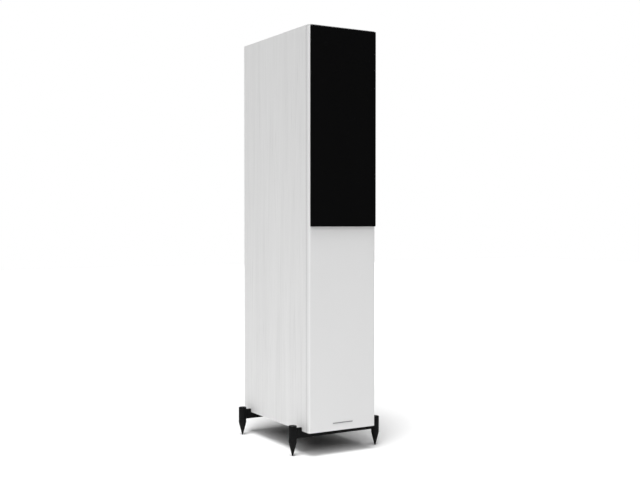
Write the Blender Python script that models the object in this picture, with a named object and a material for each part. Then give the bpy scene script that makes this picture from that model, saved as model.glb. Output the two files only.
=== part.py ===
"""Floorstanding loudspeaker: a tall cabinet on two outrigger bars with four spikes.

Frame: origin on the floor under the middle of the bounding box, -Y is the front, +X is the
viewer's right when the front is seen, +Z is up. Metres.
"""

from math import asin, cos, pi, radians, sin, sqrt

import bmesh
import bpy
from mathutils import Matrix, Vector

# Cabinet
WIDTH = 0.180
DEPTH = 0.335
HEIGHT = 0.933
LIFT = 0.055
WALL = 0.015
BAFFLE = 0.014
BAFFLE_PLUG = 0.010
EDGE_RADIUS = 0.004
GAP = 0.0003
MITRE_GAP = GAP * sqrt(2)

# What stands proud of the cabinet at the front and at the back
GRILLE_PROUD = 0.007
TERMINAL_PROUD = 0.026

FRONT = -(DEPTH + TERMINAL_PROUD - GRILLE_PROUD) / 2
BACK = FRONT + DEPTH
TOP = LIFT + HEIGHT
INNER_X = WIDTH / 2 - WALL - GAP
INNER_LOW = LIFT + WALL + GAP
INNER_HIGH = TOP - WALL - GAP
CARCASS_FRONT = FRONT + BAFFLE + GAP

# Grille
GRILLE_INSET = 0.0024
GRILLE_HEIGHT = 0.4575
GRILLE_TOP = TOP - 0.0025
GRILLE_BOTTOM = GRILLE_TOP - GRILLE_HEIGHT
GRILLE_X = WIDTH / 2 - GRILLE_INSET
CLOTH = 0.0007
FRAME_BORDER = 0.011
CROSSBAR = 0.008

# Drive units, all on the cabinet's centre line
SEGMENTS = 20
DRIVER_GAP = 0.008
FLANGE_RADIUS = 0.074
RECESS_DEPTH = 0.0041
BASKET_HOLE_RADIUS = 0.064
TWEETER_RADIUS = 0.050
TWEETER_RECESS = 0.0046
TWEETER_HOLE_RADIUS = 0.036
TWEETER_Z = GRILLE_TOP - 0.018 - TWEETER_RADIUS
MIDBASS_Z = TWEETER_Z - TWEETER_RADIUS - DRIVER_GAP - FLANGE_RADIUS
BASS_Z = MIDBASS_Z - 2 * FLANGE_RADIUS - DRIVER_GAP

CONE_RADIUS = 0.0476
NECK_RADIUS = 0.0166
CONE_RIM = 0.0036
CONE_DEPTH = 0.0214
CONE_SKIN = 0.0008
ROLL_RADIUS = 0.0520
ROLL_HEIGHT = 0.0040
CAP_RADIUS = 0.0200
CAP_HEIGHT = 0.0072
COIL_RADIUS = 0.0160

# Braces, ports and terminals
BRACE = 0.012
BRACE_WINDOW = 0.090
BRACE_LOWER_Z = 0.420
BRACE_UPPER_Z = MIDBASS_Z - FLANGE_RADIUS - DRIVER_GAP / 2
PORT_BORE = 0.025
PORT_WALL = 0.002
PORT_LENGTH = 0.120
PORT_PANEL_HOLE = 0.0325
PORT_UPPER_Z = 0.620
PORT_LOWER_Z = 0.330
TERMINAL_Z = 0.175
PLATE_SIZE = (0.090, 0.064)
PLATE_TRAY = (0.070, 0.044)
POST_SPACING = 0.032
POST_RADIUS = 0.0030
POST_HOLE = 0.0042
WADDING = 0.024

# Feet
FOOT_X = 0.1137
FOOT_FRONT_Y = FRONT + 0.0354
FOOT_REAR_Y = FRONT + 0.2987
BAR_LOW = 0.040
BAR_THICKNESS = 0.006
BAR_STEP = 0.0006
BOSS_RADIUS = 0.0095
BOSS_LOW = 0.0394
BOSS_TOP = 0.0645
RING_TOP = 0.070
STUD_RADIUS = 0.004
CONE_TOP = 0.031
TIP_RADIUS = 0.0012
FLANGE_SIZE = (0.150, 0.034, 0.003)

MATERIALS = {
    "white_oak": ((0.66, 0.66, 0.65), 0.50, 0.0),
    "white_satin": ((0.70, 0.70, 0.70), 0.40, 0.0),
    "raw_fibreboard": ((0.42, 0.30, 0.18), 0.80, 0.0),
    "black_cloth": ((0.008, 0.008, 0.008), 0.90, 0.0),
    "black_plastic": ((0.015, 0.015, 0.016), 0.45, 0.0),
    "black_powder_coat": ((0.018, 0.018, 0.019), 0.50, 0.2),
    "cast_alloy": ((0.30, 0.30, 0.31), 0.50, 0.8),
    "soft_rubber": ((0.020, 0.020, 0.020), 0.70, 0.0),
    "woven_cone": ((0.035, 0.035, 0.038), 0.55, 0.0),
    "amber_cloth": ((0.55, 0.38, 0.14), 0.85, 0.0),
    "silk": ((0.012, 0.012, 0.013), 0.60, 0.0),
    "ferrite": ((0.045, 0.045, 0.048), 0.65, 0.1),
    "zinc_steel": ((0.55, 0.56, 0.58), 0.35, 0.9),
    "gold_plate": ((0.83, 0.62, 0.28), 0.25, 1.0),
    "red_plastic": ((0.50, 0.02, 0.02), 0.40, 0.0),
    "copper_wire": ((0.72, 0.34, 0.18), 0.35, 0.9),
    "circuit_board": ((0.03, 0.16, 0.07), 0.50, 0.0),
    "capacitor_film": ((0.05, 0.12, 0.35), 0.40, 0.0),
    "wire_sleeve": ((0.06, 0.06, 0.06), 0.50, 0.0),
    "polyester_wadding": ((0.80, 0.80, 0.78), 0.95, 0.0),
    "silver_trim": ((0.38, 0.38, 0.39), 0.35, 0.8),
}


def clear_scene():
    for thing in list(bpy.data.objects):
        bpy.data.objects.remove(thing, do_unlink=True)


def material(name):
    found = bpy.data.materials.get(name)
    if found:
        return found
    colour, roughness, metallic = MATERIALS[name]
    made = bpy.data.materials.new(name)
    made.use_nodes = True
    shader = made.node_tree.nodes["Principled BSDF"]
    shader.inputs["Base Color"].default_value = (*colour, 1.0)
    shader.inputs["Roughness"].default_value = roughness
    shader.inputs["Metallic"].default_value = metallic
    return made


def add_object(name, bm, slot, location=(0, 0, 0), smooth=False):
    """Turn a bmesh into an object at a place; round pieces are shaded smooth."""
    bmesh.ops.recalc_face_normals(bm, faces=bm.faces)
    if bm.calc_volume(signed=True) < 0:
        bmesh.ops.reverse_faces(bm, faces=bm.faces)
    mesh = bpy.data.meshes.new(name)
    bm.to_mesh(mesh)
    bm.free()
    if smooth:
        mesh.shade_smooth()
        mesh.set_sharp_from_angle(angle=radians(35))
    mesh.materials.append(material(slot))
    made = bpy.data.objects.new(name, mesh)
    made.location = location
    bpy.context.scene.collection.objects.link(made)
    return made


def prism(outline, low, high, axis):
    """Extrude a closed 2-D outline along an axis; it lies in the other two, in XYZ order."""
    bm = bmesh.new()
    others = [i for i in range(3) if i != axis]
    corners = []
    for u, v in outline:
        point = [0.0, 0.0, 0.0]
        point[others[0]], point[others[1]], point[axis] = u, v, low
        corners.append(bm.verts.new(point))
    base = bm.faces.new(corners)
    grown = bmesh.ops.extrude_face_region(bm, geom=[base])
    moved = [e for e in grown["geom"] if isinstance(e, bmesh.types.BMVert)]
    shift = [0.0, 0.0, 0.0]
    shift[axis] = high - low
    bmesh.ops.translate(bm, verts=moved, vec=shift)
    return bm


def block(low, high):
    outline = [(low[0], low[1]), (high[0], low[1]), (high[0], high[1]), (low[0], high[1])]
    return prism(outline, low[2], high[2], 2)


def raise_face(bm, direction, inset, distance):
    """Inset the flat face that looks in a direction, then push what is left along it."""
    bmesh.ops.recalc_face_normals(bm, faces=bm.faces)
    bm.normal_update()
    face = max(bm.faces, key=lambda f: f.normal.dot(direction) * f.calc_area())
    bmesh.ops.inset_individual(bm, faces=[face], thickness=inset, use_even_offset=True)
    grown = bmesh.ops.extrude_discrete_faces(bm, faces=[face])
    bmesh.ops.translate(bm, verts=grown["faces"][0].verts, vec=Vector(direction) * distance)


def turned(profile, along_y=False, segments=SEGMENTS):
    """Spin (radius, height) points about Z. An outline that starts and ends on the axis is
    a solid, any other is closed into a ring. With along_y the height runs to the back."""
    bm = bmesh.new()
    verts = [bm.verts.new((radius, 0.0, height)) for radius, height in profile]
    edges = [bm.edges.new(pair) for pair in zip(verts, verts[1:])]
    if profile[0][0] > 0:
        edges.append(bm.edges.new((verts[-1], verts[0])))
    bmesh.ops.spin(bm, geom=verts + edges, axis=(0, 0, 1), angle=2 * pi, steps=segments)
    bmesh.ops.remove_doubles(bm, verts=bm.verts, dist=1e-6)
    if along_y:
        bm.transform(Matrix.Rotation(-pi / 2, 4, "X"))
    return bm


def boolean(target, tool, operation):
    """Cut a hidden tool object out of the target, or join it on."""
    tool.hide_render = True
    tool.display_type = "WIRE"
    step = target.modifiers.new(tool.name, "BOOLEAN")
    step.operation = operation
    step.object = tool


def cut(target, name, bm, location=(0, 0, 0)):
    boolean(target, add_object(name, bm, "raw_fibreboard", location), "DIFFERENCE")


def join(target, name, bm, location=(0, 0, 0)):
    boolean(target, add_object(name, bm, "raw_fibreboard", location), "UNION")


def arc(centre, radii, start, end, steps):
    """Points on an arc of a circle or an ellipse, angles in degrees."""
    points = []
    for i in range(steps + 1):
        angle = radians(start + (end - start) * i / steps)
        points.append((centre[0] + radii[0] * cos(angle), centre[1] + radii[1] * sin(angle)))
    return points


# Cabinet


def build_baffle():
    """Front board with soft vertical edges; its plug fits inside the folded carcass."""
    half, radius = WIDTH / 2, EDGE_RADIUS
    outline = [(half, FRONT + BAFFLE), (-half, FRONT + BAFFLE)]
    outline += arc((-half + radius, FRONT + radius), (radius, radius), 180, 270, 4)
    outline += arc((half - radius, FRONT + radius), (radius, radius), 270, 360, 4)
    bm = prism(outline, LIFT, TOP, 2)
    raise_face(bm, (0, 1, 0), WALL + GAP, BAFFLE_PLUG)
    baffle = add_object("front_baffle", bm, "white_satin")
    through = BAFFLE + BAFFLE_PLUG + 0.01
    stations = (
        ("tweeter", TWEETER_Z, TWEETER_RADIUS, TWEETER_RECESS, TWEETER_HOLE_RADIUS),
        ("midbass", MIDBASS_Z, FLANGE_RADIUS, RECESS_DEPTH, BASKET_HOLE_RADIUS),
        ("bass", BASS_Z, FLANGE_RADIUS, RECESS_DEPTH, BASKET_HOLE_RADIUS),
    )
    for name, z, flange, recess, hole in stations:
        rim = flange + GAP
        profile = [(0, -0.01), (rim, -0.01), (rim, recess), (hole, recess), (hole, through), (0, through)]
        cut(baffle, f"{name}_cutter", turned(profile, along_y=True), (0, FRONT, z))


def build_carcass():
    """Two sides, top and bottom, mitred at the corners like one folded, wrapped board."""
    half, inner = WIDTH / 2, WIDTH / 2 - WALL
    for name, side in (("side_panel_left", -1), ("side_panel_right", 1)):
        outline = [(side * half, LIFT), (side * half, TOP)]
        outline += [(side * inner, TOP - WALL), (side * inner, LIFT + WALL)]
        add_object(name, prism(outline, CARCASS_FRONT, BACK, 1), "white_oak")
    for name, outer_z, inner_z in (
        ("top_panel", TOP, TOP - WALL),
        ("bottom_panel", LIFT, LIFT + WALL),
    ):
        wide, narrow = half - MITRE_GAP, inner - MITRE_GAP
        outline = [(-wide, outer_z), (wide, outer_z), (narrow, inner_z), (-narrow, inner_z)]
        add_object(name, prism(outline, CARCASS_FRONT, BACK, 1), "white_oak")


def build_back_panel():
    low = (-INNER_X, BACK - WALL, INNER_LOW)
    panel = add_object("back_panel", block(low, (INNER_X, BACK, INNER_HIGH)), "white_oak")
    for name, z in (("port_upper", PORT_UPPER_Z), ("port_lower", PORT_LOWER_Z)):
        hole = [(0, -0.03), (PORT_PANEL_HOLE, -0.03), (PORT_PANEL_HOLE, 0.01), (0, 0.01)]
        cut(panel, f"{name}_cutter", turned(hole, along_y=True), (0, BACK, z))
    x, z = PLATE_TRAY[0] / 2 + GAP, PLATE_TRAY[1] / 2 + GAP
    cut(panel, "tray_cutter", block((-x, -0.03, -z), (x, 0.01, z)), (0, BACK, TERMINAL_Z))


def build_braces():
    """Horizontal boards with two windows each, which air and wiring pass through."""
    front, back = FRONT + BAFFLE + BAFFLE_PLUG + GAP, BACK - WALL - GAP
    middle, spread = (front + back) / 2, BRACE_WINDOW / 2 + 0.018
    half = BRACE_WINDOW / 2
    for name, z in (("brace_lower", BRACE_LOWER_Z), ("brace_upper", BRACE_UPPER_Z)):
        low, high = (-INNER_X, front, z - BRACE / 2), (INNER_X, back, z + BRACE / 2)
        brace = add_object(name, block(low, high), "raw_fibreboard")
        for side in (-1, 1):
            window = block((-half, -half, -BRACE), (half, half, BRACE))
            cut(brace, f"{name}_window", window, (0, middle + side * spread, z))


def build_badge():
    """Plain metal strip near the foot of the front board."""
    low = (-0.027, FRONT - GAP - 0.0006, LIFT + 0.0165)
    add_object("badge_strip", block(low, (0.027, FRONT - GAP, LIFT + 0.0185)), "silver_trim")


# Grille


def build_grille():
    """Frame with three windows behind one stretched sheet of cloth."""
    edge = CLOTH + GAP
    low_z, high_z = GRILLE_BOTTOM + edge, GRILLE_TOP - edge
    x = GRILLE_X - edge
    low = (-x, FRONT - GRILLE_PROUD + edge, low_z)
    frame = add_object("grille_frame", block(low, (x, FRONT - GAP, high_z)), "black_plastic")
    bars = [low_z + FRAME_BORDER - CROSSBAR / 2]
    bars += [(MIDBASS_Z + BASS_Z) / 2, MIDBASS_Z + FLANGE_RADIUS + DRIVER_GAP / 2]
    bars += [high_z - FRAME_BORDER + CROSSBAR / 2]
    inner = x - FRAME_BORDER
    for number, (below, above) in enumerate(zip(bars, bars[1:])):
        window = block(
            (-inner, FRONT - 0.02, below + CROSSBAR / 2),
            (inner, FRONT + 0.01, above - CROSSBAR / 2),
        )
        cut(frame, f"grille_window_{number}", window)
    face = FRONT - GRILLE_PROUD
    cloth = block((-GRILLE_X, face, GRILLE_BOTTOM), (GRILLE_X, face + CLOTH, GRILLE_TOP))
    add_object("grille_cloth", cloth, "black_cloth")


# Drive units. Heights in the profiles are depths behind the baffle's face.


def cone_surface(radius):
    """Depth of the cone's front face: a shallow curve from the rim down to the neck."""
    t = (CONE_RADIUS - radius) / (CONE_RADIUS - NECK_RADIUS)
    return CONE_RIM + CONE_DEPTH * (1.25 * t - 0.25 * t * t)


def dome_shell(radius, height, apex, skin, steps):
    """Profile of a spherical cap of even thickness, bulging to the front."""
    sphere = (radius * radius + height * height) / (2 * height)
    widest = asin(radius / sphere)
    centre = apex + sphere
    outer, inner = [], []
    for i in range(steps + 1):
        angle = widest * i / steps
        outer.append((sphere * sin(angle), centre - sphere * cos(angle)))
        inner.append(((sphere - skin) * sin(angle), centre - (sphere - skin) * cos(angle)))
    return outer + inner[::-1]


def half_roll(centre, radius, front, skin, steps=4):
    """Front and back outlines of a half-round surround, from its outer to its inner lip."""
    outer = arc((centre, front), (radius, -radius), 0, 180, steps)
    back = front + skin
    inner = arc((centre, back), (radius - skin, -radius), 180, 0, steps)
    return outer, inner


def basket_profile():
    outside = [(FLANGE_RADIUS, GAP), (FLANGE_RADIUS, 0.0038), (0.0630, 0.0038), (0.0625, 0.0120)]
    outside += [(0.0600, 0.0260), (0.0540, 0.0420), (0.0450, 0.0520), (0.0450, 0.0540)]
    inside = [(0.0200, 0.0540), (0.0200, 0.0522), (0.0400, 0.0522), (0.0400, 0.0372)]
    inside += [(0.0530, 0.0372), (0.0578, 0.0255), (0.0600, 0.0120), (0.0595, 0.0055)]
    ledge = [(0.0560, 0.0045), (0.0560, 0.0036), (0.0612, 0.0036), (0.0612, GAP)]
    return outside + inside + ledge


def surround_profile():
    front, skin = 0.0025, 0.0008
    outer, inner = half_roll(ROLL_RADIUS, ROLL_HEIGHT, front, skin)
    lip = [(0.0608, front + skin), (0.0608, front)]
    return lip + outer + [(0.0462, front), (0.0462, front + skin)] + inner


def cone_profile():
    radii = [CONE_RADIUS + (NECK_RADIUS - CONE_RADIUS) * i / 4 for i in range(5)]
    front = [(r, cone_surface(r)) for r in radii]
    back = [(r, cone_surface(r) + CONE_SKIN) for r in radii]
    return front + back[::-1]


def spider_profile():
    """Corrugated disc between the coil former and its ledge in the basket."""
    depth, skin, wave = 0.0363, 0.0006, 0.0009
    line = [(0.0165, depth)]
    line += [(0.0205 + 0.0045 * i, depth - wave * (-1) ** i) for i in range(4)]
    line += [(0.0385, depth), (0.0465, depth)]
    return line + [(r, d + skin) for r, d in line[::-1]]


def build_woofer(prefix, z):
    place = (0, FRONT, z)

    def piece(part, profile, slot):
        return add_object(f"{prefix}_{part}", turned(profile, along_y=True), slot, place, smooth=True)

    basket = piece("basket", basket_profile(), "cast_alloy")
    for i in range(3):
        slot = block((-0.011, 0.0145, -0.075), (0.011, 0.0345, 0.075))
        slot.transform(Matrix.Rotation(radians(60 * i + 30), 4, "Y"))
        cut(basket, f"{prefix}_basket_slot_{i}", slot, place)
    piece("surround", surround_profile(), "soft_rubber")
    piece("cone", cone_profile(), "woven_cone")
    apex = cone_surface(CAP_RADIUS) - CAP_HEIGHT - 0.0010
    piece("dust_cap", dome_shell(CAP_RADIUS, CAP_HEIGHT, apex, 0.0007, 4), "silk")
    piece("spider", spider_profile(), "amber_cloth")
    former, winding, bore = COIL_RADIUS, COIL_RADIUS + 0.0006, COIL_RADIUS - 0.0004
    coil = [(bore, 0.0245), (former, 0.0245), (former, 0.0530), (winding, 0.0530)]
    coil += [(winding, 0.0640), (bore, 0.0640)]
    piece("voice_coil", coil, "copper_wire")
    ring = [(0.0172, 0.0543), (0.0420, 0.0543), (0.0420, 0.0603), (0.0172, 0.0603)]
    piece("top_plate", ring, "zinc_steel")
    magnet = [(0.0225, 0.0606), (0.0450, 0.0606), (0.0450, 0.0756), (0.0225, 0.0756)]
    piece("magnet", magnet, "ferrite")
    yoke = [(0, 0.0550), (0.0149, 0.0550), (0.0149, 0.0759), (0.0420, 0.0759)]
    yoke += [(0.0420, 0.0819), (0, 0.0819)]
    piece("yoke", yoke, "zinc_steel")


def build_tweeter():
    place = (0, FRONT, TWEETER_Z)

    def piece(part, profile, slot):
        add_object(f"tweeter_{part}", turned(profile, along_y=True), slot, place, smooth=True)

    plate = [(0.0172, 0.0062), (0.0215, 0.0040), (0.0290, 0.0020), (0.0340, GAP)]
    plate += [(TWEETER_RADIUS, GAP), (TWEETER_RADIUS, 0.0043), (0.0345, 0.0043)]
    plate += [(0.0345, 0.0100), (0.0172, 0.0100)]
    piece("faceplate", plate, "black_plastic")
    skin, lip = 0.0006, 0.0066
    shell = dome_shell(0.0120, 0.0042, lip - 0.0042, skin, 3)
    crown, inside = shell[:4], shell[4:]
    outer, inner = half_roll(0.0142, 0.0016, lip, skin, 3)
    rim = [(0.0165, lip), (0.0165, lip + skin)]
    piece("dome", crown + outer[::-1] + rim + inner[::-1] + inside, "silk")
    piece("magnet", [(0, 0.0103), (0.0325, 0.0103), (0.0325, 0.0340), (0, 0.0340)], "ferrite")


# Back of the cabinet


def build_ports():
    """Flared reflex tubes; heights are measured outwards from the back panel."""
    bore, outer = PORT_BORE, PORT_BORE + PORT_WALL
    profile = [(bore, -PORT_LENGTH), (bore, -0.018), (0.0275, -0.006), (0.0335, 0.0026)]
    profile += [(0.0370, 0.0020), (0.0370, GAP), (0.0318, GAP), (0.0300, -0.0060)]
    profile += [(outer, -0.0180), (outer, -PORT_LENGTH)]
    for name, z in (("port_upper", PORT_UPPER_Z), ("port_lower", PORT_LOWER_Z)):
        add_object(name, turned(profile, along_y=True), "black_plastic", (0, BACK, z), smooth=True)


def build_terminals():
    """Plate with a tray behind it, and two posts with their clamp washers and knobs."""
    half_x, half_z = PLATE_SIZE[0] / 2, PLATE_SIZE[1] / 2
    bm = block((-half_x, GAP, -half_z), (half_x, 0.0033, half_z))
    inset = (PLATE_SIZE[0] - PLATE_TRAY[0]) / 2
    raise_face(bm, (0, -1, 0), inset, 0.018)
    plate = add_object("terminal_plate", bm, "black_plastic", (0, BACK, TERMINAL_Z))
    post = [(0, -0.026), (POST_RADIUS, -0.026), (POST_RADIUS, 0.0036), (0.0065, 0.0036)]
    post += [(0.0065, 0.0066), (POST_RADIUS, 0.0066), (POST_RADIUS, 0.0245), (0, 0.0245)]
    bore = POST_RADIUS + 0.0004
    washer = [(bore, 0.0069), (0.0062, 0.0069), (0.0062, 0.0077), (bore, 0.0077)]
    knob = [(bore, 0.0080), (0.0066, 0.0080), (0.0075, 0.0092), (0.0075, 0.0245)]
    knob += [(0.0063, TERMINAL_PROUD), (bore, TERMINAL_PROUD)]
    for colour, side in (("red", 1), ("black", -1)):
        place = (side * POST_SPACING / 2, BACK, TERMINAL_Z)
        hole = [(0, -0.03), (POST_HOLE, -0.03), (POST_HOLE, 0.01), (0, 0.01)]
        cut(plate, f"post_cutter_{colour}", turned(hole, True, 12), place)
        add_object(f"post_{colour}", turned(post, True, 12), "gold_plate", place, smooth=True)
        add_object(f"clamp_washer_{colour}", turned(washer, True, 12), "gold_plate", place, smooth=True)
        add_object(f"knob_{colour}", turned(knob, True, 16), f"{colour}_plastic", place, smooth=True)


# Inside the cabinet


def build_crossover():
    floor = LIFT + WALL + GAP
    top = floor + 0.0016
    add_object("crossover_board", block((-0.045, -0.02, floor), (0.045, 0.10, top)), "circuit_board")

    def coil(name, x, y, bore, radius, height):
        low, high = GAP, GAP + height
        ring = [(bore, low), (radius, low), (radius, high), (bore, high)]
        add_object(name, turned(ring, segments=16), "copper_wire", (x, y, top), smooth=True)

    def capacitor(name, x, y, radius, length):
        body = [(0, 0), (radius, 0), (radius, length), (0, length)]
        bm = turned(body, along_y=True, segments=16)
        add_object(name, bm, "capacitor_film", (x, y, top + radius + GAP), smooth=True)

    coil("inductor_bass", -0.018, 0.074, 0.010, 0.022, 0.022)
    coil("inductor_treble", 0.022, 0.080, 0.007, 0.014, 0.014)
    capacitor("capacitor_bass", 0.028, 0.012, 0.011, 0.040)
    capacitor("capacitor_treble", -0.004, -0.010, 0.008, 0.032)


def smooth_path(route, count):
    """Points along a Catmull-Rom curve through a route."""
    points = [Vector(p) for p in route]
    points = [points[0] * 2 - points[1]] + points + [points[-1] * 2 - points[-2]]
    spans = len(route) - 1
    path = []
    for i in range(count):
        along = spans * i / (count - 1)
        span = min(int(along), spans - 1)
        t = along - span
        a, b, c, d = points[span:span + 4]
        path.append(0.5 * (2 * b + (c - a) * t + (2 * a - 5 * b + 4 * c - d) * t * t
                           + (3 * b - a - 3 * c + d) * t ** 3))
    return path


def build_lead(name, route, count):
    curve = bpy.data.curves.new(name, "CURVE")
    curve.dimensions = "3D"
    curve.bevel_depth = 0.0015
    curve.bevel_resolution = 2
    curve.use_fill_caps = True
    spline = curve.splines.new("POLY")
    path = smooth_path(route, count)
    spline.points.add(len(path) - 1)
    for point, position in zip(spline.points, path):
        point.co = (*position, 1.0)
    curve.materials.append(material("wire_sleeve"))
    lead = bpy.data.objects.new(name, curve)
    bpy.context.scene.collection.objects.link(lead)


def build_leads():
    """One lead from the crossover up through the braces' windows to each drive unit."""
    start = LIFT + WALL + 0.0042
    driver_y = FRONT + 0.0575
    for name, x, z in (("lead_bass", -0.040, BASS_Z), ("lead_midbass", -0.034, MIDBASS_Z)):
        route = [(x, 0.0, start), (x, -0.030, start + 0.05), (x, -0.060, 0.25)]
        route += [(x, -0.060, BRACE_LOWER_Z), (x, -0.062, z - 0.10), (-0.048, -0.080, z - 0.035)]
        route += [(-0.048, driver_y, z)]
        build_lead(name, route, 22)
    x = -0.028
    route = [(x, 0.0, start), (x, -0.030, start + 0.05), (x, -0.060, 0.25), (x, -0.060, 0.60)]
    route += [(x, -0.062, TWEETER_Z - 0.10), (x, -0.090, TWEETER_Z - 0.03)]
    route += [(-0.020, FRONT + 0.0362, TWEETER_Z)]
    build_lead("lead_tweeter", route, 24)


def build_wadding():
    """Damping mat in the top chamber, against the back panel."""
    rear = BACK - WALL - 0.002
    bm = block((-0.068, rear - WADDING, 0.735), (0.068, rear, 0.955))
    wadding = add_object("damping_wadding", bm, "polyester_wadding")
    soft = wadding.modifiers.new("soft_edges", "BEVEL")
    soft.width = 0.008
    soft.segments = 2


# Feet


def build_outrigger(name, y):
    """Blade under the cabinet with raised ends, round bosses and a screw-on flange."""
    clearance = WIDTH / 2 + 0.0012
    high = LIFT - GAP
    step = high - BAR_STEP
    end_top = BOSS_TOP - BAR_STEP
    reach = FOOT_X - 0.7 * BOSS_RADIUS
    outline = [(-reach, BAR_LOW), (reach, BAR_LOW), (reach, end_top), (clearance, end_top)]
    outline += [(clearance, step), (-clearance, step), (-clearance, end_top), (-reach, end_top)]
    half = BAR_THICKNESS / 2
    bar = add_object(name, prism(outline, y - half, y + half, 1), "black_powder_coat")
    x, width = FLANGE_SIZE[0] / 2, FLANGE_SIZE[1] / 2
    flange = block((-x, -width, high - FLANGE_SIZE[2]), (x, width, high))
    join(bar, f"{name}_flange", flange, (0, y, 0))
    bore = STUD_RADIUS + 0.0005
    boss = [(bore, BOSS_LOW), (BOSS_RADIUS, BOSS_LOW), (BOSS_RADIUS, BOSS_TOP), (bore, BOSS_TOP)]
    for side in (-1, 1):
        join(bar, f"{name}_boss", turned(boss, segments=16), (side * FOOT_X, y, 0))


def build_foot(corner, x, y):
    """Spike with its stud through the boss, and the ring that locks it from above."""
    collar = BOSS_LOW - GAP
    spike = [(0, 0), (TIP_RADIUS, 0), (BOSS_RADIUS, CONE_TOP), (BOSS_RADIUS, collar)]
    spike += [(STUD_RADIUS, collar), (STUD_RADIUS, RING_TOP - 0.001), (0, RING_TOP - 0.001)]
    bm = turned(spike, segments=16)
    add_object(f"spike_{corner}", bm, "black_powder_coat", (x, y, 0), smooth=True)
    low, bore = BOSS_TOP + GAP, STUD_RADIUS + 0.0004
    ring = [(bore, low), (BOSS_RADIUS, low), (BOSS_RADIUS, RING_TOP - 0.0008)]
    ring += [(BOSS_RADIUS - 0.0008, RING_TOP), (bore, RING_TOP)]
    bm = turned(ring, segments=16)
    add_object(f"lock_ring_{corner}", bm, "black_powder_coat", (x, y, 0), smooth=True)


def build_feet():
    build_outrigger("outrigger_front", FOOT_FRONT_Y)
    build_outrigger("outrigger_rear", FOOT_REAR_Y)
    for row, y in (("front", FOOT_FRONT_Y), ("rear", FOOT_REAR_Y)):
        for side, x in (("left", -FOOT_X), ("right", FOOT_X)):
            build_foot(f"{row}_{side}", x, y)


clear_scene()
build_baffle()
build_carcass()
build_back_panel()
build_braces()
build_badge()
build_grille()
build_woofer("midbass", MIDBASS_Z)
build_woofer("bass", BASS_Z)
build_tweeter()
build_ports()
build_terminals()
build_crossover()
build_leads()
build_wadding()
build_feet()
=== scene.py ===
"""Looks of the floorstanding loudspeaker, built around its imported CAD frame.

Metres, +Z up, the front faces -Y. Places and sizes come from the frame's own boxes.
"""

from math import asin, cos, pi, radians, sin

import bmesh
import bpy
import numpy as np
from mathutils import Matrix, Vector, noise


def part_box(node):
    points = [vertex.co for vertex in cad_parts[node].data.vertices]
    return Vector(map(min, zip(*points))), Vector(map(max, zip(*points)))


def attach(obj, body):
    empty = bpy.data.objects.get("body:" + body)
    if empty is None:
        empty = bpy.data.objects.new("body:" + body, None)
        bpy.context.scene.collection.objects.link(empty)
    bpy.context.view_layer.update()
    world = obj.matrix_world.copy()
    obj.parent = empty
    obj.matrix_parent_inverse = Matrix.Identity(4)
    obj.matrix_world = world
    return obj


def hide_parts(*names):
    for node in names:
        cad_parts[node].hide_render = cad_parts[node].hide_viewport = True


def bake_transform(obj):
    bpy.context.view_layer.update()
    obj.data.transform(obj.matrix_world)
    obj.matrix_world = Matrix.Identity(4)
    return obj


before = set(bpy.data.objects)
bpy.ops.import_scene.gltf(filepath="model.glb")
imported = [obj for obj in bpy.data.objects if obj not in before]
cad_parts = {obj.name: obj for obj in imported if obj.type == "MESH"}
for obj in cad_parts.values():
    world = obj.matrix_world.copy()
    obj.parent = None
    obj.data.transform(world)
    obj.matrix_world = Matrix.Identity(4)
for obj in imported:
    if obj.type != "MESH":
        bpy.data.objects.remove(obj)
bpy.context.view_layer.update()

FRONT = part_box("front_baffle")[0][1]
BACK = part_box("back_panel")[1][1]
CABINET = "cabinet"
UNITS = ("midbass", "bass")
SUNK = 0.0003            # depth of the drive units' flanges and screws behind the front's face
CENTRE_LINE = 1e-7       # a lathe point nearer to its axis than this is a single point
SHARP = 32.0             # degrees between faces from which an edge is shaded sharp
KNIT = 0.0005            # thickness of the grille cloth
EASE = 0.0016            # radius of the cloth round the grille's front edges
HEM = 0.009              # width of the cloth let into the back of the grille's frame
TUCK = 0.80              # how far the cloth's corners follow its sides
WINDOW_DIP = 0.00035     # sink of the cloth in the middle of each window
SURROUND_LIP = 0.004     # width of a surround's glued outer lip
DRIVER_INSET = 0.0062    # distance of a drive unit's screws from its flange's edge
PORT_BORE = 0.0250       # radius of a reflex port's bore
KNOB_RADIUS = 0.0075     # radius of a terminal's knob
WOOFER_SCREW = (0.0032, 0.0012)      # radius and height of a screw's head
TWEETER_SCREW = (0.0026, 0.0010)
TERMINAL_SCREW = (0.0030, 0.0013)
OUTRIGGER_SCREW = (0.0032, 0.0014)
HORIZON = 0.02           # strength of the surroundings at eye level
ZENITH = 0.36            # strength of the surroundings overhead
CEILING_START = 0.15     # height on the unit sphere from which they brighten
LENS = 54.71             # mm, on a 36 mm wide sensor
CAMERA_X = -1.1897
CAMERA_AHEAD = 1.9192    # distance of the camera in front of the front board
CAMERA_Z = 0.5366
YAW = radians(30.45)
PITCH = radians(-1.01)
CEILING_LIGHT = {"tilt": 12.0, "heading": 52.0, "spread": 26.0, "strength": 2.7}
KEY_LIGHT = {"tilt": 50.0, "heading": 42.0, "spread": 40.0, "strength": 1.35}


def middle(node):
    low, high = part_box(node)
    return Vector([(a + b) / 2 for a, b in zip(low, high)])


def half_size(node):
    low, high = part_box(node)
    return Vector([(b - a) / 2 for a, b in zip(low, high)])


# Surfaces


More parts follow.
